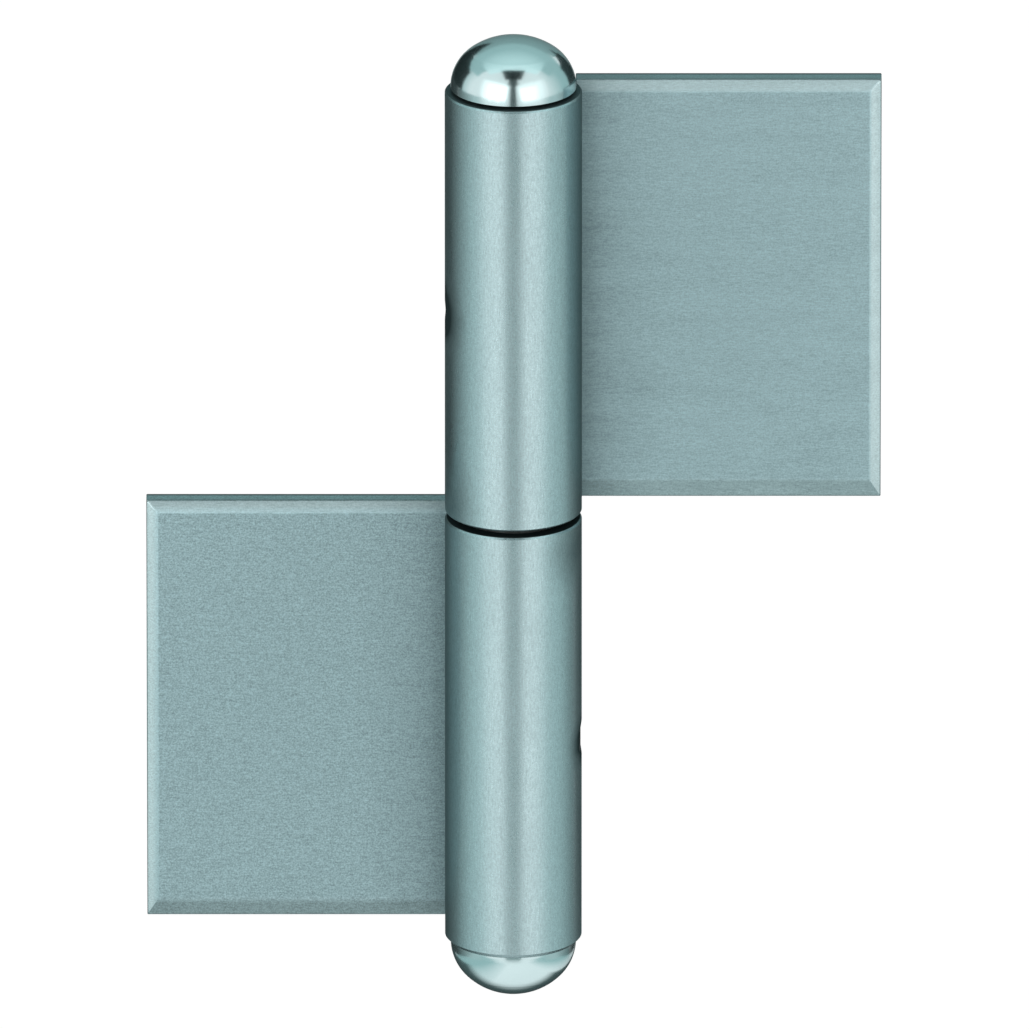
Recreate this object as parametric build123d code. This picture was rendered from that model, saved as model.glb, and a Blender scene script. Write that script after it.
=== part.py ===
from build123d import *
import os
from math import atan2, copysign, cos, sin, sqrt

# Two-part weld-on hinge, opened flat.
# Millimetres. The pin axis is Z, and the origin is on it, in the middle of the gap between the knuckles.
# The front is -Y. The upper leaf goes to +X and the lower leaf to -X, and both stand behind the axis.

# Knuckles
knuckle_diameter = 22.0
knuckle_gap = 1.1
gap_edge_chamfer = 0.3
upper_rim_chamfer = 0.3
lower_rim_chamfer = 0.7

# Pin and domes
pin_diameter = 12.0
pin_running_clearance = 0.05
pin_seat_clearance = 0.02
pin_end_chamfer = 0.6
dome_diameter = 20.2
head_dome_height = 8.2
cap_dome_height = 8.8
dome_fullness = 0.89
head_clearance = 0.6
cap_collar_height = 0.4
cap_spigot_length = 10.0
cap_to_pin_gap = 0.5

# Bearing ring, sunk into both knuckles
ring_diameter = 17.0
ring_seat_depth = 1.0
ring_entry_depth = 0.6
ring_seat_clearance = 0.03
ring_running_clearance = 0.15

# Leaves
leaf_height = 70.8
leaf_reach = 59.0
leaf_thickness = 4.0
leaf_setback = 5.0
leaf_root_gap = 0.2
upper_leaf_lift = 0.2
lower_leaf_lift = 0.65
upper_rim_margin = 0.15
lower_rim_margin = 1.6
bevel_depth = 0.9
top_bevel_width = 1.95
outer_bevel_width = 1.9
bottom_bevel_width = 3.3
leaf_edge_break = 0.2

# Welds behind the leaves
weld_toe_width = 5.5
weld_crown_height = 0.7
weld_end_margin = 4.0
weld_end_slope = 3.0

# Side holes and the lock screw
oil_hole_diameter = 3.5
screw_hole_diameter = 6.0
side_hole_share = 0.522
screw_thread_clearance = 0.03
screw_recess = 0.2
screw_dog_diameter = 4.0
screw_dog_clearance = 0.05
screw_to_pin_clearance = 0.2
screw_edge_chamfer = 0.4
screw_socket_width = 3.0
screw_socket_depth = 2.0
pin_pocket_depth = 1.2

# Heights and radii that follow from the values above
knuckle_radius = knuckle_diameter / 2
pin_radius = pin_diameter / 2
dome_radius = dome_diameter / 2
ring_radius = ring_diameter / 2
upper_knuckle_length = upper_leaf_lift + leaf_height + upper_rim_margin
lower_knuckle_length = leaf_height - lower_leaf_lift + lower_rim_margin
upper_bottom = knuckle_gap / 2
upper_top = upper_bottom + upper_knuckle_length
lower_top = -knuckle_gap / 2
lower_bottom = lower_top - lower_knuckle_length
ring_bottom = lower_top - ring_seat_depth
ring_top = upper_bottom + ring_entry_depth
head_seat = upper_top + head_clearance
head_apex = head_seat + head_dome_height
cap_dome_base = lower_bottom - cap_collar_height
cap_apex = cap_dome_base - cap_dome_height
spigot_top = lower_bottom + cap_spigot_length
pin_end = spigot_top + cap_to_pin_gap
upper_hole_height = upper_top - side_hole_share * upper_knuckle_length
lower_hole_height = lower_top - side_hole_share * lower_knuckle_length
upper_leaf_bottom = upper_bottom + upper_leaf_lift
lower_leaf_bottom = lower_top + lower_leaf_lift - leaf_height
weld_root = sqrt(knuckle_radius**2 - leaf_setback**2)
leaf_inner_end = weld_root + leaf_root_gap
leaf_back = leaf_setback + leaf_thickness
cut_margin = knuckle_radius / 10


def turned(*outline):
    """Solid of revolution about Z, from half-section lines given as (radius, height), with its seam at +Y."""
    return revolve(Plane.YZ * make_face(Curve() + list(outline)), Axis.Z)


def dome_outline(base, apex_height):
    """Half-section of a dome from its base to its apex: a tight shoulder arc, then a flatter crown."""
    rise = apex_height - base
    direction = copysign(1, rise)
    height = abs(rise)
    shoulder_radius = dome_fullness * height
    crown_radius = (dome_radius**2 - 2 * dome_radius * shoulder_radius + height**2) / (
        2 * (height - shoulder_radius)
    )
    rim = Vector(dome_radius, base)
    apex = Vector(0, apex_height)
    shoulder_centre = rim - Vector(shoulder_radius, 0)
    crown_centre = apex - Vector(0, direction * crown_radius)
    joint = shoulder_centre + (shoulder_centre - crown_centre).normalized() * shoulder_radius
    return TangentArc(rim, joint, tangent=(0, direction)), TangentArc(apex, joint, tangent=(1, 0))


def side_hole(diameter, direction, height):
    """Radial hole from the bore outwards, towards +X (1) or -X (-1)."""
    drill = Plane(origin=(0, 0, height), z_dir=(direction, 0, 0))
    from_axis = (Align.CENTER, Align.CENTER, Align.MIN)
    return drill * Cylinder(diameter / 2, knuckle_radius + cut_margin, align=from_axis)


def make_upper_knuckle():
    """Tube that turns on the pin, with a recess for the bearing ring and an oil hole opposite its leaf."""
    bore = pin_radius + pin_running_clearance
    recess = ring_radius + ring_running_clearance
    tube = turned(
        Polyline(
            (bore, ring_top),
            (recess, ring_top),
            (recess, upper_bottom),
            (knuckle_radius - gap_edge_chamfer, upper_bottom),
            (knuckle_radius, upper_bottom + gap_edge_chamfer),
            (knuckle_radius, upper_top - upper_rim_chamfer),
            (knuckle_radius - upper_rim_chamfer, upper_top),
            (bore, upper_top),
            close=True,
        )
    )
    return tube - side_hole(oil_hole_diameter, -1, upper_hole_height)


def make_lower_knuckle():
    """Tube that holds the pin, the bearing ring and the cap, with the lock screw's hole opposite its leaf."""
    bore = pin_radius + pin_seat_clearance
    recess = ring_radius + ring_seat_clearance
    tube = turned(
        Polyline(
            (bore, ring_bottom),
            (recess, ring_bottom),
            (recess, lower_top),
            (knuckle_radius - gap_edge_chamfer, lower_top),
            (knuckle_radius, lower_top - gap_edge_chamfer),
            (knuckle_radius, lower_bottom + lower_rim_chamfer),
            (knuckle_radius - lower_rim_chamfer, lower_bottom),
            (bore, lower_bottom),
            close=True,
        )
    )
    return tube - side_hole(screw_hole_diameter, 1, lower_hole_height)


def make_bearing_ring():
    """Flat steel ring that carries the upper knuckle clear of the lower one."""
    bore = pin_radius + ring_running_clearance
    return turned(
        Polyline(
            (bore, ring_bottom),
            (ring_radius, ring_bottom),
            (ring_radius, ring_top),
            (bore, ring_top),
            close=True,
        )
    )


def make_hinge_pin():
    """Pin with a domed head that stands clear of the upper rim, and a pocket for the lock screw's point."""
    shank = Polyline(
        (dome_radius, head_seat),
        (pin_radius, head_seat),
        (pin_radius, pin_end + pin_end_chamfer),
        (pin_radius - pin_end_chamfer, pin_end),
        (0, pin_end),
        (0, head_apex),
    )
    pocket_radius = screw_dog_diameter / 2 + screw_dog_clearance
    pocket_floor = Plane(origin=(pin_radius - pin_pocket_depth, 0, lower_hole_height), z_dir=(1, 0, 0))
    pocket = Cylinder(pocket_radius, 2 * pin_pocket_depth, align=(Align.CENTER, Align.CENTER, Align.MIN))
    return turned(*dome_outline(head_seat, head_apex), shank) - pocket_floor * pocket


def make_bottom_cap():
    """Domed cap with a low collar on the lower rim, and a spigot pressed into the bore."""
    spigot_radius = pin_radius + pin_seat_clearance
    spigot = Polyline(
        (dome_radius, cap_dome_base),
        (dome_radius, lower_bottom),
        (spigot_radius, lower_bottom),
        (spigot_radius, spigot_top - pin_end_chamfer),
        (spigot_radius - pin_end_chamfer, spigot_top),
        (0, spigot_top),
        (0, cap_apex),
    )
    return turned(*dome_outline(cap_dome_base, cap_apex), spigot)


def make_pin_lock_screw():
    """Grub screw with a dog point in the pin's pocket and a hexagon socket at its outer end."""
    body_radius = screw_hole_diameter / 2 - screw_thread_clearance
    dog_radius = screw_dog_diameter / 2
    tip = pin_radius - pin_pocket_depth
    shoulder = pin_radius + screw_to_pin_clearance
    outer_end = knuckle_radius - screw_recess
    body = turned(
        Polyline(
            (0, tip),
            (dog_radius, tip),
            (dog_radius, shoulder),
            (body_radius - screw_edge_chamfer, shoulder),
            (body_radius, shoulder + screw_edge_chamfer),
            (body_radius, outer_end - screw_edge_chamfer),
            (body_radius - screw_edge_chamfer, outer_end),
            (0, outer_end),
            close=True,
        )
    )
    hexagon = RegularPolygon(screw_socket_width / 2, 6, major_radius=False)
    socket = Pos(0, 0, outer_end) * extrude(hexagon, -screw_socket_depth)
    return Plane(origin=(0, 0, lower_hole_height), z_dir=(1, 0, 0)) * (body - socket)


def make_leaf(bottom):
    """Flat leaf towards +X, with weld bevels on the front of its top, bottom and outer edges."""
    plate = Pos(leaf_inner_end, leaf_setback, bottom) * Box(
        leaf_reach - leaf_inner_end,
        leaf_thickness,
        leaf_height,
        align=(Align.MIN, Align.MIN, Align.MIN),
    )
    bevels = (
        (Axis.Z, -1, top_bevel_width),
        (Axis.Z, 0, bottom_bevel_width),
        (Axis.X, -1, outer_bevel_width),
    )
    for axis, end, width in bevels:
        front = plate.faces().sort_by(Axis.Y)[0]
        edge = front.edges().sort_by(axis)[end]
        plate = chamfer(edge, length=width, length2=bevel_depth, reference=front)
    back_edges = plate.faces().sort_by(Axis.Y)[-1].edges()
    return chamfer(back_edges.sort_by(Axis.X)[1:], leaf_edge_break)


def make_weld(bottom):
    """Weld bead that fills the groove between a +X leaf's end and its knuckle, with sloping ends."""
    toe_x = leaf_inner_end - weld_toe_width
    toe = Vector(toe_x, sqrt(knuckle_radius**2 - toe_x**2))
    root = Vector(weld_root, leaf_setback)
    corner = Vector(leaf_inner_end, leaf_setback)
    edge = Vector(leaf_inner_end, leaf_back)
    along = (toe - edge).normalized()
    crown = (edge + toe) / 2 + Vector(along.Y, -along.X) * weld_crown_height
    middle_angle = (atan2(toe.Y, toe.X) + atan2(root.Y, root.X)) / 2
    middle = Vector(cos(middle_angle), sin(middle_angle)) * knuckle_radius
    sides = Polyline(root, corner, edge)
    section = make_face(sides + ThreePointArc(edge, crown, toe) + ThreePointArc(toe, middle, root))
    low = bottom + weld_end_margin
    high = bottom + leaf_height - weld_end_margin
    bead = Pos(0, 0, low) * extrude(section, high - low)
    ends = Polyline(
        (leaf_setback, low),
        (knuckle_radius, low + weld_end_slope),
        (knuckle_radius, high - weld_end_slope),
        (leaf_setback, high),
        close=True,
    )
    return bead & extrude(Plane.YZ * make_face(ends), knuckle_radius)


def mirrored(solid):
    """The same piece on the -X side."""
    return mirror(solid, Plane.YZ)


pieces = {
    "upper_knuckle": make_upper_knuckle(),
    "upper_leaf": make_leaf(upper_leaf_bottom),
    "upper_weld": make_weld(upper_leaf_bottom),
    "lower_knuckle": make_lower_knuckle(),
    "lower_leaf": mirrored(make_leaf(lower_leaf_bottom)),
    "lower_weld": mirrored(make_weld(lower_leaf_bottom)),
    "hinge_pin": make_hinge_pin(),
    "bearing_ring": make_bearing_ring(),
    "bottom_cap": make_bottom_cap(),
    "pin_lock_screw": make_pin_lock_screw(),
}

os.makedirs("parts", exist_ok=True)
for node, solid in pieces.items():
    export_step(solid, f"parts/{node}.step")
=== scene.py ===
import logging
import math
from dataclasses import dataclass
from enum import Enum
from typing import Any, Callable, Protocol

import bmesh
import bpy
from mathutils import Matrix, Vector


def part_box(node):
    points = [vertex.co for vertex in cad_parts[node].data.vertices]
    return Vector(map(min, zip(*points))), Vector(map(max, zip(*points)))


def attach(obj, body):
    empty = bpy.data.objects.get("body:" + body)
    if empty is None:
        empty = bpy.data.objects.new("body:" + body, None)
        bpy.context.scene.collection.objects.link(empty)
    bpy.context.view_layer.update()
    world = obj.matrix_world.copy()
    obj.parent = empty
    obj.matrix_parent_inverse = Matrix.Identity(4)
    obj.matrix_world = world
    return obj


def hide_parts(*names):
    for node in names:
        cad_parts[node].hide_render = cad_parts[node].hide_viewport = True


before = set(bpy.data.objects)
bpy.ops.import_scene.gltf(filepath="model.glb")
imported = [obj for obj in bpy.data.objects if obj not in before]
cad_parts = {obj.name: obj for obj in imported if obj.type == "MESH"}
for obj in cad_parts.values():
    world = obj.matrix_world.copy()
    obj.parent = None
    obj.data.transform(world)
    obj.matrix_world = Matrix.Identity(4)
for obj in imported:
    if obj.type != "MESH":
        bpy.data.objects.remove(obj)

# Looks of the weld-on hinge: its finishes, leaf plates and weld beads, the studio and the camera.
# Metres, in the frame's own axes: the pin axis is Z, the front is -Y and the upper leaf goes to +X.
# A point within TOUCH of a plane counts as lying in it.

log = logging.getLogger("hinge")

Colour = tuple[float, float, float, float]
Tint = tuple[float, float, float]
Fade = tuple[float, float]
MM = 0.001
TOUCH = 0.01 * MM


def grey(level: float, tint: Tint = (1.0, 1.0, 1.0)) -> Colour:
    """Opaque colour of one level, tinted channel by channel."""
    return (level * tint[0], level * tint[1], level * tint[2], 1.0)


# Shader writing


class Wire:
    """A shader socket that takes part in Python arithmetic by adding Math nodes."""

    def __init__(self, shader: "Shader", socket: bpy.types.NodeSocket) -> None:
        """Wraps one output socket of a shader."""
        self.shader = shader
        self.socket = socket

    def _math(self, operation: str, first: "Wire | float", second: "Wire | float") -> "Wire":
        """Adds a Math node.

        Args:
            operation: The node's operation.
            first: Its first value.
            second: Its second value.

        Returns:
            The node's result.
        """
        node = self.shader.node("ShaderNodeMath", {"operation": operation}, {0: first, 1: second})
        return Wire(self.shader, node.outputs[0])

    def __add__(self, other: "Wire | float") -> "Wire":
        """Sum of two values."""
        return self._math("ADD", self, other)

    def __radd__(self, other: float) -> "Wire":
        """Sum with a number in front."""
        return self._math("ADD", other, self)

    def __sub__(self, other: "Wire | float") -> "Wire":
        """Difference of two values."""
        return self._math("SUBTRACT", self, other)

    def __rsub__(self, other: float) -> "Wire":
        """Difference from a number."""
        return self._math("SUBTRACT", other, self)

    def __mul__(self, other: "Wire | float") -> "Wire":
        """Product of two values."""
        return self._math("MULTIPLY", self, other)

    def __rmul__(self, other: float) -> "Wire":
        """Product with a number in front."""
        return self._math("MULTIPLY", other, self)

    def size(self) -> "Wire":
        """Value without its sign."""
        return self._math("ABSOLUTE", self, 0.0)

    def at_most(self, other: "Wire | float") -> "Wire":
        """Smaller of two values."""
        return self._math("MINIMUM", self, other)

    def at_least(self, other: "Wire | float") -> "Wire":
        """Larger of two values."""
        return self._math("MAXIMUM", self, other)


class Shader:
    """The node tree of a material or a world, written node by node."""

    def __init__(self, owner: bpy.types.Material | bpy.types.World) -> None:
        """Empties a node tree and keeps it.

        Args:
            owner: The material or world that the tree belongs to.
        """
        owner.use_nodes = True
        self.tree = owner.node_tree
        self.tree.nodes.clear()

    def node(
        self,
        kind: str,
        settings: dict[str, Any] | None = None,
        values: dict[str | int, Any] | None = None,
    ) -> bpy.types.Node:
        """Adds any node.

        Args:
            kind: The node's type.
            settings: Its own settings, set first.
            values: Its sockets' values, or the wires that feed them.

        Returns:
            The new node.
        """
        node = self.tree.nodes.new(kind)
        for name, setting in (settings or {}).items():
            setattr(node, name, setting)
        for name, value in (values or {}).items():
            if isinstance(value, Wire):
                self.tree.links.new(value.socket, node.inputs[name])
            else:
                node.inputs[name].default_value = value
        return node

    def wire(self, node: bpy.types.Node, output: str | int = 0) -> Wire:
        """One output of a node as a wire."""
        return Wire(self, node.outputs[output])

    def place(self) -> Wire:
        """Object coordinates, in metres."""
        return self.wire(self.node("ShaderNodeTexCoord"), "Object")

    def along(self, axis: str) -> Wire:
        """Object coordinate along one axis, in metres."""
        return self.wire(self.node("ShaderNodeSeparateXYZ", {}, {0: self.place()}), axis)

    def distance(self, centre: Vector) -> Wire:
        """Distance from a point in object coordinates, in metres."""
        values = {0: self.place(), 1: centre}
        return self.wire(self.node("ShaderNodeVectorMath", {"operation": "DISTANCE"}, values), "Value")

    def noise(self, stretch: Vector, detail: float = 2.0, rough: float = 0.5) -> Wire:
        """Noise from 0 to 1 in cells of a chosen size.

        Args:
            stretch: Cells per metre along each axis.
            detail: Octaves of finer noise.
            rough: Strength of the finer octaves.

        Returns:
            The noise value.
        """
        cells = self.node("ShaderNodeMapping", {}, {"Vector": self.place(), "Scale": stretch})
        values = {"Vector": self.wire(cells), "Scale": 1.0, "Detail": detail, "Roughness": rough}
        return self.wire(self.node("ShaderNodeTexNoise", {}, values))

    def even_noise(self, size: float, detail: float = 2.0, rough: float = 0.5) -> Wire:
        """Noise from 0 to 1 in cells that are as wide as they are long.

        Args:
            size: Size of a cell, in metres.
            detail: Octaves of finer noise.
            rough: Strength of the finer octaves.

        Returns:
            The noise value.
        """
        return self.noise(Vector((1, 1, 1)) / size, detail, rough)

    def ramp(self, value: Wire, low: float, high: float) -> Wire:
        """Value mapped from low..high to 0..1 and held at both ends."""
        values = {"Value": value, "From Min": low, "From Max": high}
        return self.wire(self.node("ShaderNodeMapRange", {"clamp": True}, values))

    def mix(self, share: Wire, first: Colour | Wire, second: Colour | Wire) -> Wire:
        """Colour between two.

        Args:
            share: 0 for the first colour and 1 for the second.
            first: Colour at 0.
            second: Colour at 1.

        Returns:
            The mixed colour.
        """
        node = self.node("ShaderNodeMix", {"data_type": "RGBA"}, {0: share, 6: first, 7: second})
        return self.wire(node, 2)

    def bump(self, height: Wire, depth: float, strength: float) -> Wire:
        """Normal that follows a height pattern.

        Args:
            height: Pattern from 0 to 1.
            depth: Real depth of the pattern, in metres.
            strength: Share of its effect.

        Returns:
            The bent normal.
        """
        values = {"Height": height, "Distance": depth, "Strength": strength}
        return self.wire(self.node("ShaderNodeBump", {}, values), "Normal")

    def metal(self, colour: Wire, roughness: Wire, normal: Wire, edge_tint: float = 1.0) -> None:
        """Ends a material in a metal surface.

        Args:
            colour: Base colour.
            roughness: Roughness.
            normal: Normal.
            edge_tint: Level of what the metal reflects at a grazing angle.
        """
        values = {
            "Base Color": colour,
            "Roughness": roughness,
            "Normal": normal,
            "Metallic": 1.0,
            "Specular Tint": grey(edge_tint),
        }
        surface = self.node("ShaderNodeBsdfPrincipled", {}, values)
        self.end(surface)

    def end(self, surface: bpy.types.Node) -> None:
        """Makes a shader node the material's surface."""
        self.node("ShaderNodeOutputMaterial", {}, {"Surface": self.wire(surface)})


# Finishes


class Grain(Enum):
    """Direction in which a surface was drawn or ground."""

    ALONG_PIN = "along the pin"
    ACROSS = "across the leaf"

    def stretch(self, fine: float, long: float) -> Vector:
        """Cells of a streaky pattern.

        Args:
            fine: Width of a streak, in metres.
            long: Length of a streak, in metres.

        Returns:
            Cells per metre along each axis.
        """
        if self is Grain.ALONG_PIN:
            return Vector((1 / fine, 1 / fine, 1 / long))
        return Vector((1 / long, 1 / fine, 1 / fine))


class PaintedShade(Protocol):
    """Darker colour painted over part of a surface: painted shade, and dark patches."""

    def mask(self, shader: Shader) -> Wire:
        """Share of the darker colour over the surface, from 0 to 1."""


@dataclass(frozen=True)
class Shadow:
    """Painted shade that deepens along one axis, from where it is clear to where it is full."""

    axis: str
    clear_at: float
    full_at: float
    share: float

    def mask(self, shader: Shader) -> Wire:
        """Share of the painted shade over the surface, from 0 to 1."""
        return self.share * shader.ramp(shader.along(self.axis), self.clear_at, self.full_at)


@dataclass(frozen=True)
class Line:
    """Painted darkening along one height, full up to an inner distance from it and gone at an outer one."""

    height: float
    inner: float
    outer: float
    share: float

    def mask(self, shader: Shader) -> Wire:
        """Share of the darkening over the surface, from 0 to 1."""
        distance = (shader.along("Z") - self.height).size()
        return self.share * shader.ramp(distance, self.outer, self.inner)


@dataclass(frozen=True)
class Spot:
    """Round dark patch, full up to about an inner distance from its centre and gone at about an outer one.
    """

    centre: Vector
    inner: float
    outer: float
    share: float
    wobble: float = 0.5

    def mask(self, shader: Shader) -> Wire:
        """Share of the patch over the surface, from 0 to 1."""
        wander = self.wobble * self.outer * (shader.even_noise(self.outer) - 0.5)
        return self.share * shader.ramp(shader.distance(self.centre) + wander, self.outer, self.inner)


@dataclass(frozen=True)
class Blend:
    """Soft change from a neighbour's colour to a surface's own, along one axis."""

    axis: str
    start: float
    end: float
    neighbour: Colour


@dataclass(frozen=True)
class BrightSteel:
    """Plain bright steel with drawn or ground grain, fine speckle, soft clouding, painted shade and dark
    patches.
    """

    name: str
    colour: Colour
    grain: Grain
    roughness: float
    grain_share: float
    speckle: float
    painted_shades: tuple[PaintedShade, ...]
    blend: Blend | None = None
    cloud_share: float = 0.16
    contrast: float = 0.42
    edge_tint: float = 0.3
    # Colour and extra roughness where shade is painted and where the dark patches lie.
    shade_colour: Colour = (0.03, 0.05, 0.052, 1)
    shade_roughness: float = 0.30
    streak_roughness: float = 0.08
    cloud_roughness: float = 0.10
    scratch_width: float = 0.17 * MM
    scratch_length: float = 1.2 * MM
    pit_size: float = 0.26 * MM
    cloud_width: float = 3 * MM
    cloud_length: float = 14 * MM
    relief_depth: float = 0.010 * MM

    def _tone(self, shader: Shader, level: float) -> Colour | Wire:
        """The steel's colour at a level, blended into its neighbour's where it has one.

        Args:
            shader: The material.
            level: Share of the full colour.

        Returns:
            The colour.
        """
        own = grey(level, self.colour[:3])
        if not self.blend:
            return own
        share = shader.ramp(shader.along(self.blend.axis), self.blend.start, self.blend.end)
        return shader.mix(share, grey(level, self.blend.neighbour[:3]), own)

    def _painted_shade(self, shader: Shader) -> Wire:
        """Share of painted shade and dark patches over the surface, from 0 to 1, where the deepest counts.

        Args:
            shader: The material.

        Returns:
            The share.
        """
        thickest = self.painted_shades[0].mask(shader)
        for other in self.painted_shades[1:]:
            thickest = thickest.at_least(other.mask(shader))
        return thickest

    def material(self) -> bpy.types.Material:
        """Makes the material.

        Returns:
            The new material.
        """
        made = bpy.data.materials.new(self.name)
        shader = Shader(made)
        scratches = self.grain.stretch(self.scratch_width, self.scratch_length)
        streaks = shader.ramp(shader.noise(scratches, detail=2.0, rough=0.6), low=0.30, high=0.70)
        pits = shader.even_noise(self.pit_size, detail=2.0, rough=0.65)
        specks = shader.ramp(pits, low=0.34, high=0.66)
        clouds = shader.noise(self.grain.stretch(self.cloud_width, self.cloud_length), detail=3.0)
        relief = self.grain_share * streaks + self.speckle * specks
        dull = (self.cloud_share * clouds + relief).at_most(1.0)
        steel = shader.mix(dull, self._tone(shader, 1.0), self._tone(shader, self.contrast))
        # Painted shade and dark patches mix the steel toward a dark colour.
        darkening = self._painted_shade(shader)
        colour = shader.mix(darkening, steel, self.shade_colour)
        roughness = self.roughness + self.streak_roughness * streaks
        roughness += self.cloud_roughness * (clouds - 0.5) + self.shade_roughness * darkening
        normal = shader.bump(relief, self.relief_depth, strength=0.5)
        shader.metal(colour, roughness, normal, self.edge_tint)
        return made


@dataclass(frozen=True)
class PolishedPlate:
    """Bright plating over a buffed dome, with faint buffing haze."""

    name: str
    colour: Colour
    haze: Colour
    roughness: float
    edge_tint: float = 0.55
    buff_size: float = 0.9 * MM
    buff_squash: float = 5.0
    buff_haze: float = 0.3
    buff_roughness: float = 0.05
    cloud_size: float = 5 * MM
    cloud_haze: float = 0.6
    cloud_roughness: float = 0.04
    relief_depth: float = 0.02 * MM

    def material(self) -> bpy.types.Material:
        """Makes the material.

        Returns:
            The new material.
        """
        made = bpy.data.materials.new(self.name)
        shader = Shader(made)
        marks = Vector((1, 1, self.buff_squash)) / self.buff_size
        buffing = shader.noise(marks, detail=3.0, rough=0.55)
        clouds = shader.even_noise(self.cloud_size)
        haze = self.cloud_haze * clouds + self.buff_haze * buffing
        colour = shader.mix(haze, self.colour, self.haze)
        roughness = self.roughness + self.buff_roughness * buffing + self.cloud_roughness * clouds
        normal = shader.bump(clouds, self.relief_depth, strength=0.25)
        shader.metal(colour, roughness, normal, self.edge_tint)
        return made


@dataclass(frozen=True)
class WeldSkin:
    """Wire-brushed weld metal with patches of straw and blue heat tint."""

    name: str
    colour: Colour
    straw: Colour
    blue: Colour
    roughness: float = 0.30
    scale_roughness: float = 0.25
    scale_size: float = 0.5 * MM
    heat_size: float = 4 * MM
    relief_depth: float = 0.05 * MM

    def material(self) -> bpy.types.Material:
        """Makes the material.

        Returns:
            The new material.
        """
        made = bpy.data.materials.new(self.name)
        shader = Shader(made)
        scale = shader.even_noise(self.scale_size, detail=3.0, rough=0.6)
        heat = shader.even_noise(self.heat_size)
        tinted = shader.mix(shader.ramp(heat, low=0.40, high=0.62), self.colour, self.straw)
        colour = shader.mix(shader.ramp(heat, low=0.60, high=0.74), tinted, self.blue)
        roughness = self.roughness + self.scale_roughness * scale
        shader.metal(colour, roughness, shader.bump(scale, self.relief_depth, strength=0.5))
        return made


@dataclass(frozen=True)
class TurnedSteel:
    """Turned steel under a film of oil, with rings left by the tool."""

    name: str
    colour: Colour
    darkening: Colour
    roughness: float
    smear_size: float = 3 * MM
    smear_roughness: float = 0.15
    ring_size: float = 0.8 * MM
    ring_spread: float = 0.2
    ring_squash: float = 6.0
    relief_depth: float = 0.02 * MM

    def material(self) -> bpy.types.Material:
        """Makes the material.

        Returns:
            The new material.
        """
        made = bpy.data.materials.new(self.name)
        shader = Shader(made)
        rings = shader.noise(Vector((self.ring_spread, self.ring_spread, self.ring_squash)) / self.ring_size)
        smears = shader.even_noise(self.smear_size, detail=3.0, rough=0.55)
        colour = shader.mix(shader.ramp(smears, low=0.35, high=0.7), self.colour, self.darkening)
        roughness = self.roughness + self.smear_roughness * smears
        shader.metal(colour, roughness, shader.bump(rings, self.relief_depth, strength=0.5))
        return made


# Mesh helpers


def box_of(node: str) -> tuple[Vector, Vector]:
    """Lowest and highest corner of a frame node."""
    low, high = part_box(node)
    return Vector(low), Vector(high)


def start_piece(name: str, add: Callable[..., Any], **settings: Any) -> bpy.types.Object:
    """Adds a primitive as the start of a new piece, alone in the selection.

    Args:
        name: The piece's name.
        add: The primitive's operator.
        settings: The operator's settings.

    Returns:
        The new object.
    """
    bpy.ops.object.select_all(action="DESELECT")
    add(**settings)
    piece = bpy.context.object
    piece.name = name
    piece.data.name = name
    return piece


def settle(piece: bpy.types.Object) -> None:
    """Puts a piece's place, turn and scale into its mesh.

    Args:
        piece: The piece.
    """
    bpy.ops.object.select_all(action="DESELECT")
    piece.select_set(True)
    bpy.context.view_layer.objects.active = piece
    bpy.ops.object.transform_apply(location=True, rotation=True, scale=True)


def apply_modifier(piece: bpy.types.Object, kind: str, **settings: Any) -> None:
    """Adds a modifier and applies it.

    Args:
        piece: The piece.
        kind: The modifier's type.
        settings: The modifier's settings.
    """
    modifier = piece.modifiers.new(kind.title(), kind)
    for name, setting in settings.items():
        setattr(modifier, name, setting)
    bpy.context.view_layer.objects.active = piece
    bpy.ops.object.modifier_apply(modifier=modifier.name)


def pick_faces(piece: bpy.types.Object, wanted: Callable[[bmesh.types.BMFace], bool]) -> None:
    """Selects faces in edit mode, and nothing else.

    Args:
        piece: The piece that is being edited.
        wanted: Test of a face's place or normal.
    """
    bpy.ops.mesh.select_mode(type="FACE")
    bpy.ops.mesh.select_all(action="DESELECT")
    mesh = bmesh.from_edit_mesh(piece.data)
    for face in mesh.faces:
        face.select_set(wanted(face))
    bmesh.update_edit_mesh(piece.data)


def dress(piece: bpy.types.Object, material: bpy.types.Material) -> None:
    """Gives a piece one material."""
    piece.data.materials.clear()
    piece.data.materials.append(material)


# Sub-assemblies


class LeafFace(Enum):
    """Kinds of face on a leaf, each with its own finish, its tone painted lighter or darker by the way it
    faces.
    """

    FLAT = 0
    TOP_BEVEL = 1
    SIDE_BEVEL = 2
    BOTTOM_BEVEL = 3
    EDGE = 4
    BACK = 5


STEEL_TINT: Tint = (0.74, 0.97, 1.0)
# Tint of each kind of leaf face, set together with its painted light and shade.
LEAF_TINTS = {
    LeafFace.FLAT: (0.69, 0.97, 1.02),
    LeafFace.TOP_BEVEL: STEEL_TINT,
    LeafFace.SIDE_BEVEL: (0.79, 0.98, 1.0),
    LeafFace.BOTTOM_BEVEL: (0.69, 0.97, 1.0),
    LeafFace.EDGE: STEEL_TINT,
    LeafFace.BACK: STEEL_TINT,
}


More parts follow.
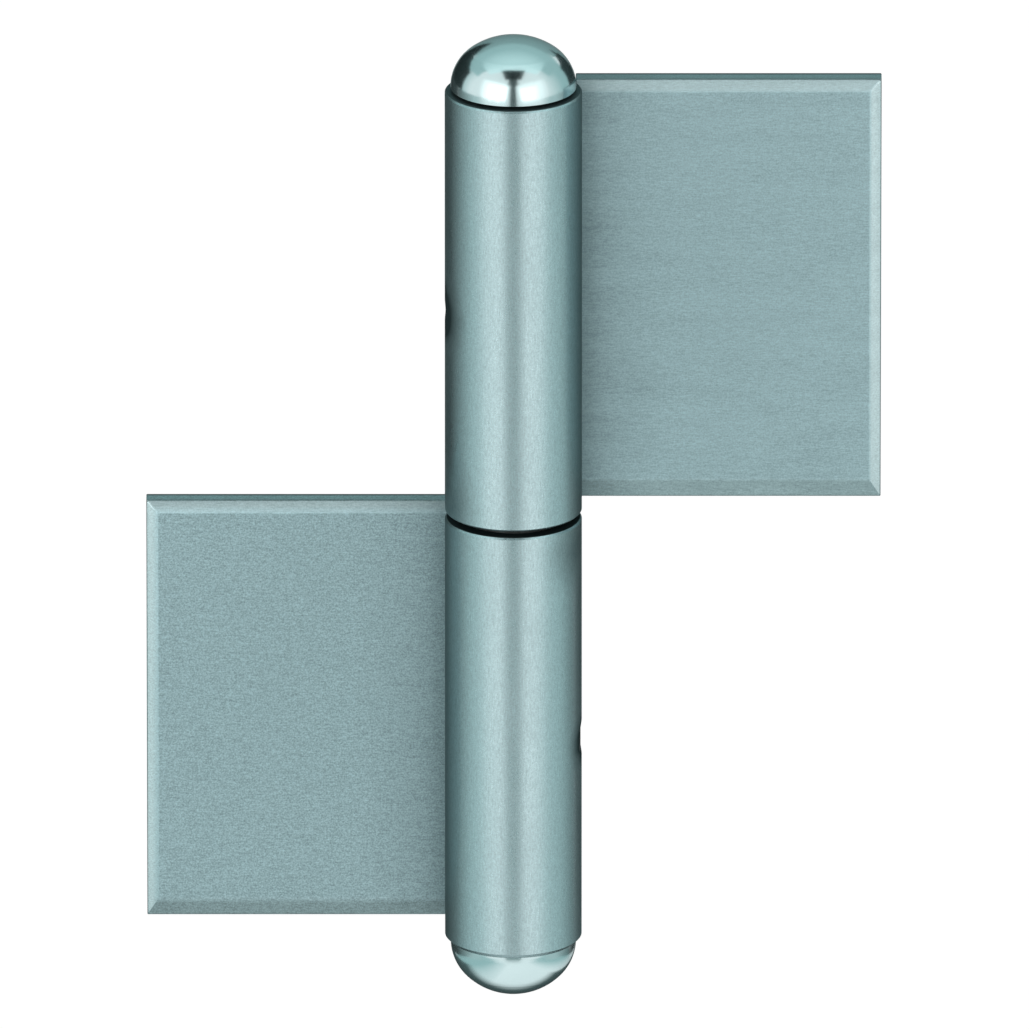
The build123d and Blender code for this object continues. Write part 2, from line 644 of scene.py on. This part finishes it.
@dataclass
class LeafPlate:
    """Flat leaf whose three free edges are bevelled on the front, with its sharp edges eased.

    The limits sort its faces by how far their normals look to the back.
    """

    node: str
    edge_ease: float = 0.16 * MM
    ease_segments: int = 2
    smooth_angle: float = 10.0
    flat_limit: float = -0.99
    bevel_limit: float = -0.87
    back_limit: float = 0.9

    def _points(self) -> list[Vector]:
        """Corners of the frame node's mesh."""
        return [vertex.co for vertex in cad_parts[self.node].data.vertices]

    def front_corners(self) -> tuple[Vector, Vector]:
        """Finds the flat front, inside the bevels.

        Returns:
            Its lowest and highest corner.
        """
        low, _ = box_of(self.node)
        front = [point for point in self._points() if point.y < low.y + TOUCH]
        xs = [point.x for point in front]
        zs = [point.z for point in front]
        return Vector((min(xs), low.y, min(zs))), Vector((max(xs), low.y, max(zs)))

    def bevel_line(self) -> float:
        """Depth at which the bevels meet the leaf's edges."""
        _, high = box_of(self.node)
        return min(point.y for point in self._points() if point.z > high.z - TOUCH)

    def build(self) -> bpy.types.Object:
        """Models the plate: a block, its front drawn out and narrowed to the bevels, then eased.

        Returns:
            The plate.
        """
        low, high = box_of(self.node)
        front_low, front_high = self.front_corners()
        line = self.bevel_line()
        size = (high.x - low.x, high.y - line, high.z - low.z)
        piece = start_piece(
            f"{self.node}_plate",
            bpy.ops.mesh.primitive_cube_add,
            size=1,
            location=((low.x + high.x) / 2, (line + high.y) / 2, (low.z + high.z) / 2),
            scale=size,
        )
        settle(piece)
        bpy.ops.object.mode_set(mode="EDIT")
        pick_faces(piece, lambda face: face.normal.y < self.flat_limit)
        bpy.ops.mesh.extrude_region_move(TRANSFORM_OT_translate={"value": (0, low.y - line, 0)})
        wide = (front_high.x - front_low.x) / size[0]
        tall = (front_high.z - front_low.z) / size[2]
        bpy.ops.transform.resize(value=(wide, 1, tall), center_override=self._fixed_point(wide, tall))
        bpy.ops.mesh.select_all(action="SELECT")
        bpy.ops.mesh.bevel(
            offset=self.edge_ease, segments=self.ease_segments, profile=0.5, clamp_overlap=True
        )
        bpy.ops.mesh.normals_make_consistent(inside=False)
        bpy.ops.object.mode_set(mode="OBJECT")
        bpy.ops.object.shade_smooth_by_angle(angle=math.radians(self.smooth_angle))
        return piece

    def dress(self, piece: bpy.types.Object, finishes: dict[LeafFace, BrightSteel]) -> None:
        """Gives each kind of face its own finish.

        Args:
            piece: The plate.
            finishes: The finish of each kind of face.
        """
        piece.data.materials.clear()
        for kind in LeafFace:
            piece.data.materials.append(finishes[kind].material())
        for face in piece.data.polygons:
            face.material_index = self._kind_of(face.normal).value

    def _kind_of(self, normal: Vector) -> LeafFace:
        """Sorts a face by where it looks.

        Args:
            normal: The face's normal.

        Returns:
            The kind of face.
        """
        if normal.y < self.flat_limit:
            return LeafFace.FLAT
        if normal.y > self.back_limit:
            return LeafFace.BACK
        if normal.y > self.bevel_limit:
            return LeafFace.EDGE
        if abs(normal.x) > abs(normal.z):
            return LeafFace.SIDE_BEVEL
        return LeafFace.TOP_BEVEL if normal.z > 0 else LeafFace.BOTTOM_BEVEL

    def _fixed_point(self, wide: float, tall: float) -> Vector:
        """Point that stays in place while the front narrows to its bevels.

        Args:
            wide: Share of the width that is left.
            tall: Share of the height that is left.

        Returns:
            The fixed point on the front.
        """
        low, _ = box_of(self.node)
        front_low, _ = self.front_corners()
        x = (front_low.x - wide * low.x) / (1 - wide)
        z = (front_low.z - tall * low.z) / (1 - tall)
        return Vector((x, low.y, z))


@dataclass
class WeldBead:
    """Weld bead of overlapping ripples in the groove behind a leaf."""

    node: str
    pitch: float = 1.5 * MM
    ripple_length: float = 2.6 * MM
    ripple_tilt: float = 24.0
    ripple_fill: float = 0.98
    segments: int = 24
    rings: int = 14
    voxel: float = 0.22 * MM

    def build(self) -> bpy.types.Object:
        """Models one ripple, repeats it up the groove and melts the row into one skin.

        Returns:
            The bead.
        """
        low, high = box_of(self.node)
        depth = (high.y - low.y) / 2
        count = int((high.z - low.z - 2 * self.ripple_length) / self.pitch) + 1
        first = Vector(((low.x + high.x) / 2, high.y - depth, low.z + self.ripple_length))
        piece = start_piece(
            f"{self.node}_bead",
            bpy.ops.mesh.primitive_uv_sphere_add,
            segments=self.segments,
            ring_count=self.rings,
            radius=1,
            location=first,
        )
        piece.scale = ((high.x - low.x) / 2, depth * self.ripple_fill, self.ripple_length / 2)
        settle(piece)
        bpy.ops.object.mode_set(mode="EDIT")
        bpy.ops.mesh.select_all(action="SELECT")
        tilt = math.radians(self.ripple_tilt)
        bpy.ops.transform.rotate(value=tilt, orient_axis="X", center_override=first)
        bpy.ops.object.mode_set(mode="OBJECT")
        apply_modifier(
            piece,
            "ARRAY",
            count=count,
            use_relative_offset=False,
            use_constant_offset=True,
            constant_offset_displace=(0, 0, self.pitch),
        )
        apply_modifier(piece, "REMESH", mode="VOXEL", voxel_size=self.voxel, use_smooth_shade=True)
        return piece


@dataclass(frozen=True)
class HalfLook:
    """What differs between the looks of the two halves, and the finishes that follow from it."""

    side: str
    body: str
    leaf_sign: int
    knuckle_tone: float
    # Tone of each kind of leaf face: painted light and shade by the way it faces.
    leaf_tones_by_light: dict[LeafFace, float]
    leaf_speckle: float
    leaf_clouds: float
    bevel_blend: float
    hole_height: float
    hole_patch: float
    ground_speckle: float = 0.5
    patch_core: float = 0.55

    def knuckle_finish(self) -> BrightSteel:
        """Drawn steel with painted shade at both sides and on both ends, and dark patches round the side
        hole and by the other leaf.

        Returns:
            The finish.
        """
        low, high = box_of(f"{self.side}_knuckle")
        radius = (high.y - low.y) / 2
        dome_end = high.z if self.leaf_sign > 0 else low.z
        leaf_side = self.leaf_sign * MM
        hole = Vector((-self.leaf_sign * radius, 0, self.hole_height))
        dark_patch = Vector((-10.5 * leaf_side, -3 * MM, 4 * leaf_side))
        painted_shades = (
            # Painted shade on the knuckle's edge by its own leaf and on its free edge.
            Shadow("X", clear_at=8.4 * leaf_side, full_at=10.9 * leaf_side, share=0.72),
            Shadow("X", clear_at=-10.0 * leaf_side, full_at=-10.9 * leaf_side, share=0.50),
            # Painted shade at the gap between the knuckles and on the rim under the dome.
            Line(height=0.0, inner=0.56 * MM, outer=0.60 * MM, share=0.95),
            Line(dome_end, inner=0.03 * MM, outer=0.09 * MM, share=0.85),
            # Darker patches round the side hole and by the other leaf, just off the gap.
            Spot(hole, inner=self.patch_core * self.hole_patch, outer=self.hole_patch, share=0.95),
            Spot(dark_patch, inner=2 * MM, outer=9 * MM, share=0.60),
        )
        return BrightSteel(
            f"{self.side}_drawn_steel",
            grey(self.knuckle_tone, STEEL_TINT),
            Grain.ALONG_PIN,
            roughness=0.26,
            grain_share=0.30,
            speckle=0.30,
            painted_shades=painted_shades,
        )

    def _bevel_blends(self, plate: LeafPlate) -> dict[LeafFace, Blend]:
        """Softens the painted light and shade at the bevels' inner edges.

        Args:
            plate: The leaf.

        Returns:
            How each bevel takes on the flat's colour at its inner edge.
        """
        low, high = plate.front_corners()
        outer = high.x if self.leaf_sign > 0 else low.x
        soft = self.bevel_blend
        flat = grey(self.leaf_tones_by_light[LeafFace.FLAT], LEAF_TINTS[LeafFace.FLAT])
        return {
            LeafFace.TOP_BEVEL: Blend("Z", high.z, high.z + soft, flat),
            LeafFace.SIDE_BEVEL: Blend("X", outer, outer + self.leaf_sign * soft, flat),
            LeafFace.BOTTOM_BEVEL: Blend("Z", low.z, low.z - soft, flat),
        }

    def leaf_finishes(self, plate: LeafPlate) -> dict[LeafFace, BrightSteel]:
        """Finish of each kind of face on the leaf.

        Args:
            plate: The leaf.

        Returns:
            The finishes, with the bevels blended into the flat at their inner edges.
        """
        low, high = box_of(plate.node)
        line = plate.bevel_line()
        # Painted shade on the leaf by the knuckle.
        root = Shadow("X", clear_at=self.leaf_sign * 26 * MM, full_at=self.leaf_sign * 10 * MM, share=0.32)
        # Darker along the bottom edge, and painted shade over the lower part of the leaf.
        foot = Line(low.z, inner=0.10 * MM, outer=0.40 * MM, share=0.45)
        low_shade = Line(low.z, inner=3 * MM, outer=10 * MM, share=0.06)
        # Painted shade along the back of the edge faces, and darker towards where they meet the bevels.
        back = Shadow("Y", clear_at=high.y - 1.2 * MM, full_at=high.y - 0.4 * MM, share=0.90)
        front = Shadow("Y", clear_at=line + 0.8 * MM, full_at=line, share=0.55)
        blends = self._bevel_blends(plate)
        made = {}
        for kind, tone in self.leaf_tones_by_light.items():
            ground = kind in (LeafFace.TOP_BEVEL, LeafFace.SIDE_BEVEL)
            made[kind] = BrightSteel(
                f"{self.side}_leaf_{kind.name.lower()}",
                grey(tone, LEAF_TINTS[kind]),
                Grain.ACROSS,
                roughness=0.38,
                grain_share=0.30,
                speckle=self.leaf_speckle * (self.ground_speckle if ground else 1.0),
                painted_shades=(root, foot, back, front) if kind is LeafFace.EDGE else (root, foot, low_shade),
                blend=blends.get(kind),
                cloud_share=self.leaf_clouds,
            )
        return made


@dataclass
class HingeHalf:
    """One half of the hinge: its knuckle, its leaf and the weld between them."""

    look: HalfLook
    weld_finish: WeldSkin

    def build(self) -> list[bpy.types.Object]:
        """Models and dresses the half.

        Returns:
            The new pieces.
        """
        leaf_node = f"{self.look.side}_leaf"
        weld_node = f"{self.look.side}_weld"
        dress(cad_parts[f"{self.look.side}_knuckle"], self.look.knuckle_finish().material())
        plate = LeafPlate(leaf_node)
        leaf = plate.build()
        plate.dress(leaf, self.look.leaf_finishes(plate))
        self._hand_over(leaf, leaf_node)
        bead = WeldBead(weld_node).build()
        dress(bead, self.weld_finish.material())
        self._hand_over(bead, weld_node)
        return [leaf, bead]

    def _hand_over(self, piece: bpy.types.Object, node: str) -> None:
        """Lets a new piece stand for its frame node and ride its body.

        Args:
            piece: The new piece.
            node: The frame node that it replaces.
        """
        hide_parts(node)
        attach(piece, self.look.body)


@dataclass
class PinSet:
    """The pin with its domed head, the bottom cap, the bearing ring and the lock screw."""

    plate: PolishedPlate
    ring: TurnedSteel
    screw: TurnedSteel

    def dress(self) -> None:
        """Gives the set's pieces their finishes."""
        plate = self.plate.material()
        dress(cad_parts["hinge_pin"], plate)
        dress(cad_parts["bottom_cap"], plate)
        dress(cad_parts["bearing_ring"], self.ring.material())
        dress(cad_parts["pin_lock_screw"], self.screw.material())


# Studio


def spot_round(azimuth: float, distance: float, height: float) -> Vector:
    """Place round the hinge.

    Args:
        azimuth: Bearing from the camera's side, in degrees.
        distance: Distance from the pin axis.
        height: Height in the frame.

    Returns:
        The place.
    """
    bearing = math.radians(azimuth)
    spot = Vector((math.sin(bearing), -math.cos(bearing), 0)) * distance
    spot.z = height
    return spot


def hang_card(
    card: bpy.types.Object, colour: Colour, fade_x: Fade | None = None, fade_y: Fade | None = None
) -> None:
    """Paints a card and keeps it for reflections alone.

    Args:
        card: The card.
        colour: Its colour, seen as it is written.
        fade_x: Where it is clear and where it is full along X.
        fade_y: The same along Y.
    """
    made = bpy.data.materials.new(card.name)
    shader = Shader(made)
    surface = shader.node("ShaderNodeEmission", {}, {"Color": colour, "Strength": 1.0})
    for axis, fade in (("X", fade_x), ("Y", fade_y)):
        if fade:
            share = shader.ramp(shader.along(axis), *fade)
            clear = shader.node("ShaderNodeBsdfTransparent")
            links = {0: share, 1: shader.wire(clear), 2: shader.wire(surface)}
            surface = shader.node("ShaderNodeMixShader", {}, links)
    shader.end(surface)
    dress(card, made)
    card.visible_camera = False
    card.visible_diffuse = False
    card.visible_shadow = False


@dataclass(frozen=True)
class Card:
    """Flat studio card that only reflections see, standing round the hinge."""

    name: str
    azimuth: float
    distance: float
    width: float
    bottom: float
    top: float
    colour: Colour
    fade_y: Fade | None = None

    def place(self) -> None:
        """Stands the card facing the hinge, at its bearing from the camera's side."""
        card = start_piece(
            self.name,
            bpy.ops.mesh.primitive_plane_add,
            size=1,
            location=spot_round(self.azimuth, self.distance, (self.bottom + self.top) / 2),
            rotation=(math.radians(90), 0, math.radians(self.azimuth)),
        )
        card.scale = (self.width, self.top - self.bottom, 1)
        settle(card)
        hang_card(card, self.colour, fade_y=self.fade_y)


@dataclass(frozen=True)
class LyingCard:
    """Flat studio card that only reflections see, lying level above or below the hinge."""

    name: str
    x: float
    y: float
    width: float
    depth: float
    height: float
    colour: Colour
    fade_x: Fade | None = None
    fade_y: Fade | None = None

    def place(self) -> None:
        """Lays the card level at its height."""
        spot = (self.x, self.y, self.height)
        card = start_piece(self.name, bpy.ops.mesh.primitive_plane_add, size=1, location=spot)
        card.scale = (self.width, self.depth, 1)
        settle(card)
        hang_card(card, self.colour, self.fade_x, self.fade_y)


@dataclass(frozen=True)
class Softbox:
    """Rectangular soft lamp aimed at the hinge."""

    name: str
    azimuth: float
    distance: float
    height: float
    width: float
    tall: float
    radiance: float

    def place(self) -> None:
        """Hangs the lamp at its bearing from the camera's side."""
        spot = spot_round(self.azimuth, self.distance, self.height)
        lamp = bpy.data.lights.new(self.name, "AREA")
        lamp.shape = "RECTANGLE"
        lamp.size = self.width
        lamp.size_y = self.tall
        lamp.energy = self.radiance * math.pi * self.width * self.tall
        holder = bpy.data.objects.new(self.name, lamp)
        holder.location = spot
        holder.rotation_euler = (-spot).to_track_quat("-Z", "Y").to_euler()
        holder.visible_camera = False
        bpy.context.scene.collection.objects.link(holder)


TEAL: Tint = (0.72, 1.0, 1.0)
PALE_TEAL: Tint = (0.82, 1.0, 1.0)


@dataclass
class Studio:
    """White floor and surroundings, two softboxes and the cards that shape the reflections.

    Each softbox is four lamps, one before the other, so that it brightens in steps.
    """

    floor_height: float = -0.75
    floor_size: float = 14.0
    floor_white: float = 0.92
    floor_glow: float = 1.25
    floor_glow_share: float = 0.65
    ambient: float = 0.6

    softboxes: tuple[Softbox, ...] = (
        Softbox("left_softbox", -38, 1.5, 0.50, 1.55, 1.35, 0.22),
        Softbox("left_softbox_glow", -36, 1.49, 0.47, 1.25, 1.25, 0.34),
        Softbox("left_softbox_core", -31, 1.48, 0.40, 0.95, 1.0, 0.50),
        Softbox("left_softbox_bulb", -27, 1.47, 0.33, 0.65, 0.8, 0.60),
        Softbox("right_softbox", 38, 1.5, 0.50, 1.55, 1.35, 0.12),
        Softbox("right_softbox_glow", 36, 1.49, 0.47, 1.25, 1.25, 0.18),
        Softbox("right_softbox_core", 31, 1.48, 0.39, 0.93, 0.95, 0.30),
        Softbox("right_softbox_bulb", 27, 1.47, 0.32, 0.65, 0.8, 0.42),
    )
    standing_cards: tuple[Card, ...] = (
        Card("front_stem", 0, 1.4, 0.32, -0.25, 1.80, grey(0.06, TEAL)),
        Card("front_stem_head", 0, 1.39, 0.56, 1.02, 1.80, grey(0.05, TEAL)),
        Card("front_foot", 0, 1.4, 0.70, -0.74, -0.25, grey(0.38, PALE_TEAL)),
        Card("left_low_fill", -80, 1.3, 1.9, -0.74, -0.05, grey(0.62, PALE_TEAL), (-0.95, -0.45)),
        Card("right_low_fill", 80, 1.3, 1.9, -0.74, -0.05, grey(0.62, PALE_TEAL), (-0.95, -0.45)),
        Card("left_high_fill", -90, 1.3, 2.2, -0.05, 1.6, grey(0.58, TEAL), (-0.10, 0.60)),
        Card("right_high_fill", 90, 1.3, 2.2, -0.05, 1.6, grey(0.58, TEAL), (-0.65, 0.30)),
        Card("left_low_flag", -118, 1.0, 1.9, -0.58, -0.05, grey(0.07, PALE_TEAL), (-0.35, 0.60)),
        Card("right_low_flag", 118, 1.0, 1.9, -0.58, -0.05, grey(0.07, PALE_TEAL), (-0.16, 0.83)),
        Card("left_high_flag", -136, 0.98, 1.1, -0.05, 0.62, grey(0.03, TEAL)),
        Card("right_high_flag", 140, 0.98, 0.60, -0.05, 0.46, grey(0.05, TEAL)),
        Card("back_low_wall", 180, 1.8, 2.4, -0.74, 0.05, grey(0.45, PALE_TEAL)),
        Card("back_high_wall", 180, 1.8, 2.4, 0.05, 1.6, grey(0.45, TEAL)),
    )
    lying_cards: tuple[LyingCard, ...] = (
        LyingCard("ceiling", 0.0, 0.95, 5.0, 2.2, 1.62, grey(0.61, TEAL)),
        LyingCard("ceiling_front", 0.0, 0.25, 2.4, 1.5, 1.6, grey(1.10, PALE_TEAL), fade_y=(1.0, -0.45)),
        LyingCard("front_boom", 0.0, -0.76, 0.84, 0.80, 1.45, grey(0.02, TEAL)),
        LyingCard("rear_floor_flag", -0.15, 0.9, 1.4, 1.8, -0.74, grey(0.13, TEAL), fade_y=(0.06, 0.42)),
        LyingCard("left_floor_card", -1.1, -0.1, 1.7, 2.2, -0.745, grey(0.60, TEAL), fade_x=(-0.15, -0.85)),
        LyingCard("right_floor_card", 1.1, -0.1, 1.7, 2.2, -0.745, grey(0.60, TEAL), fade_x=(0.60, 1.1)),
    )

    def build(self) -> None:
        """Sets the world, the floor, the lamps and the cards."""
        self._world()
        self._floor()
        for item in self.softboxes + self.standing_cards + self.lying_cards:
            item.place()

    @staticmethod
    def _pale_rays(shader: Shader) -> Wire:
        """Picks the rays that see the background: from the camera, off metal and through glass.

        Args:
            shader: The material or world.

        Returns:
            1 for such a ray and 0 for any other.
        """
        rays = shader.node("ShaderNodeLightPath")
        seen = shader.wire(rays, "Is Camera Ray").at_least(shader.wire(rays, "Is Glossy Ray"))
        return seen.at_least(shader.wire(rays, "Is Transmission Ray"))

    def _world(self) -> None:
        """White surroundings to look at, and softer light from them."""
        world = bpy.data.worlds.new("studio_world")
        bpy.context.scene.world = world
        shader = Shader(world)
        level = self.ambient + (1 - self.ambient) * self._pale_rays(shader)
        back = shader.node("ShaderNodeBackground", {}, {"Color": grey(1.0), "Strength": level})
        shader.node("ShaderNodeOutputWorld", {}, {"Surface": shader.wire(back)})

    def _floor(self) -> None:
        """Pale floor that looks white and still takes a shadow."""
        spot = (0, 0, self.floor_height)
        add = bpy.ops.mesh.primitive_plane_add
        floor = start_piece("studio_floor", add, size=self.floor_size, location=spot)
        settle(floor)
        made = bpy.data.materials.new("floor_white")
        shader = Shader(made)
        matt = shader.node("ShaderNodeBsdfDiffuse", {}, {"Color": grey(self.floor_white)})
        glow = shader.node("ShaderNodeEmission", {}, {"Color": grey(1.0), "Strength": self.floor_glow})
        share = self.floor_glow_share * self._pale_rays(shader)
        links = {0: share, 1: shader.wire(matt), 2: shader.wire(glow)}
        shader.end(shader.node("ShaderNodeMixShader", {}, links))
        dress(floor, made)


@dataclass(frozen=True)
class PhotoCamera:
    """Long-lens camera at the photograph's angle and framing."""

    elevation: float = 19.3
    frame_width: float = 0.16525
    lens: float = 1600.0
    sensor: float = 36.0
    clip_end: float = 50.0
    aim: Vector = Vector((0.18 * MM, 0, -0.30 * MM))

    def place(self) -> None:
        """Adds the camera to the scene and makes it the active one."""
        rise = math.radians(self.elevation)
        distance = self.frame_width * self.lens / self.sensor
        back = Vector((0, -math.cos(rise), math.sin(rise)))
        view = bpy.data.cameras.new("photo_camera")
        view.lens = self.lens
        view.sensor_width = self.sensor
        view.clip_end = self.clip_end
        holder = bpy.data.objects.new("photo_camera", view)
        holder.location = self.aim + back * distance
        holder.rotation_euler = (math.radians(90) - rise, 0, 0)
        bpy.context.scene.collection.objects.link(holder)
        bpy.context.scene.camera = holder


UPPER_LOOK = HalfLook(
    side="upper",
    body="door_half",
    leaf_sign=1,
    knuckle_tone=0.83,
    # Painted light and shade: each kind of face lighter or darker by the way it faces.
    leaf_tones_by_light={
        LeafFace.FLAT: 0.72,
        LeafFace.TOP_BEVEL: 0.76,
        LeafFace.SIDE_BEVEL: 0.89,
        LeafFace.BOTTOM_BEVEL: 0.57,
        LeafFace.EDGE: 0.80,
        LeafFace.BACK: 1.0,
    },
    leaf_speckle=0.36,
    leaf_clouds=0.36,
    bevel_blend=0.45 * MM,
    hole_height=34.55 * MM,
    hole_patch=9.0 * MM,
)
LOWER_LOOK = HalfLook(
    side="lower",
    body="frame_half",
    leaf_sign=-1,
    knuckle_tone=0.83,
    # Painted light and shade: each kind of face lighter or darker by the way it faces.
    leaf_tones_by_light={
        LeafFace.FLAT: 0.70,
        LeafFace.TOP_BEVEL: 0.60,
        LeafFace.SIDE_BEVEL: 0.90,
        LeafFace.BOTTOM_BEVEL: 0.48,
        LeafFace.EDGE: 0.87,
        LeafFace.BACK: 1.0,
    },
    leaf_speckle=0.60,
    leaf_clouds=0.16,
    bevel_blend=1.1 * MM,
    hole_height=-38.0 * MM,
    hole_patch=6.6 * MM,
)
WELD = WeldSkin(
    "weld_metal_skin",
    colour=(0.42, 0.47, 0.48, 1),
    straw=(0.40, 0.36, 0.27, 1),
    blue=(0.24, 0.28, 0.36, 1),
)
PLATE = PolishedPlate(
    "polished_plate_skin",
    colour=(0.63, 0.785, 0.795, 1),
    haze=(0.56, 0.72, 0.73, 1),
    roughness=0.12,
)
RING = TurnedSteel(
    "ring_oiled",
    colour=(0.16, 0.18, 0.18, 1),
    darkening=(0.05, 0.06, 0.06, 1),
    roughness=0.30,
)
SCREW = TurnedSteel(
    "screw_black_oxide",
    colour=(0.07, 0.075, 0.08, 1),
    darkening=(0.03, 0.03, 0.03, 1),
    roughness=0.35,
)


def main() -> None:
    """Builds the hinge's looks and the studio, and logs the faces of each new piece."""
    logging.basicConfig(level=logging.INFO, format="%(name)s: %(message)s")
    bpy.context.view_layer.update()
    for look in (UPPER_LOOK, LOWER_LOOK):
        for piece in HingeHalf(look, WELD).build():
            log.info("%s: %d faces", piece.name, len(piece.data.polygons))
    PinSet(PLATE, RING, SCREW).dress()
    log.info("pin set dressed")
    Studio().build()
    PhotoCamera().place()
    bpy.context.scene.view_settings.view_transform = "Standard"


if __name__ == "__main__":
    main()
